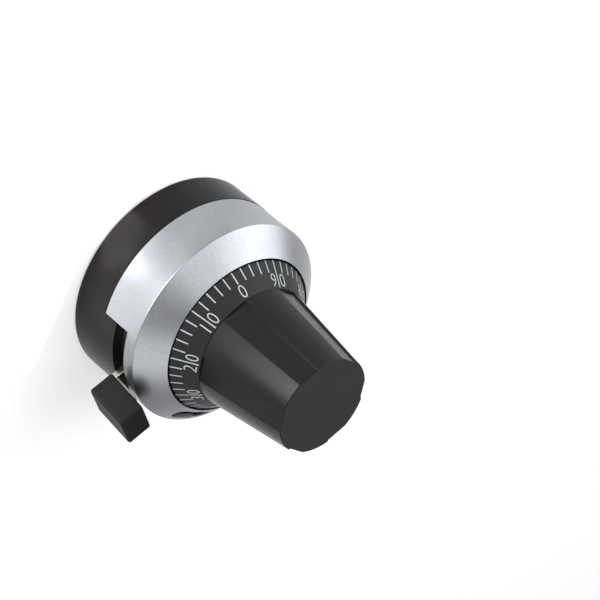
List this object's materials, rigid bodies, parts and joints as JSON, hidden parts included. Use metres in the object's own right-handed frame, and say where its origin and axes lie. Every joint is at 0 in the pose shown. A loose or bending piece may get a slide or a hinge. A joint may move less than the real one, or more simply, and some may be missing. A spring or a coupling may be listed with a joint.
{
  "type": "turns-counting dial",
  "caption": "Round panel dial for a multi-turn shaft: tapered fluted knob on a scaled cone, silver bezel with a turns window, side brake lever.",
  "frame": {"origin": "centre of the flat back face, where the knob's axis meets the panel", "axes": "+Z out of the panel along the knob's axis, +Y towards the window in the bezel"},
  "size_m": [0.0471, 0.0481, 0.0498],
  "materials": {
    "black_moulding": "semi-gloss moulded",
    "satin_silver": "fine satin, spun",
    "scale_black": "matt, printed in pale grey",
    "grip_black": "glossy moulded, satin front face",
    "paddle_black": "matt moulded",
    "lever_steel": "plain sheet",
    "hub_brass": "turned",
    "bush_bronze": "sintered",
    "gear_black": "moulded acetal",
    "gear_white": "moulded nylon",
    "small_steel": "plated"
  },
  "bodies": {
    "base": {"housing": "black_moulding", "bearing_bush": "bush_bronze", "anti_rotation_pin": "small_steel", "bezel": "satin_silver", "fixed_gear_ring": "gear_black"},
    "knob": {"hub": "hub_brass", "hub_circlip": "small_steel", "spring_washer": "small_steel", "thrust_washer": "small_steel", "carrier_plate": "small_steel", "planet_stud": "small_steel", "scale_skirt": "scale_black", "knob_grip": "grip_black", "set_screw_1": "small_steel", "set_screw_2": "small_steel"},
    "planet": {"planet_gear": "gear_white"},
    "counter": {"counter_ring": "gear_black"},
    "lever": {"brake_lever": "lever_steel", "brake_paddle": "paddle_black"},
    "shoe": {"brake_shoe": "gear_white"}
  },
  "joints": [
    {"name": "knob_spin", "type": "hinge", "parent": "base", "child": "knob", "pos_m": [0, 0, 0], "axis": [0, 0, 1], "continuous": true},
    {"name": "planet_spin", "type": "hinge", "parent": "knob", "child": "planet", "pos_m": [0, -0.0125, 0], "axis": [0, 0, 1], "continuous": true},
    {"name": "counter_spin", "type": "hinge", "parent": "base", "child": "counter", "pos_m": [0, 0, 0], "axis": [0, 0, 1], "continuous": true},
    {"name": "brake_turn", "type": "hinge", "parent": "base", "child": "lever", "pos_m": [0, 0, 0], "axis": [0, 0, 1], "range_deg": [-27, 0]},
    {"name": "shoe_slide", "type": "slide", "parent": "base", "child": "shoe", "axis": [0.9397, 0.342, 0], "range_m": [0, 0.0005]}
  ],
  "couplings": [
    {"joint": "planet_spin", "follows": "knob_spin", "ratio": -4.2},
    {"joint": "counter_spin", "follows": "knob_spin", "ratio": 0.066667},
    {"joint": "shoe_slide", "follows": "brake_turn", "m_per_rad": -0.00106}
  ]
}
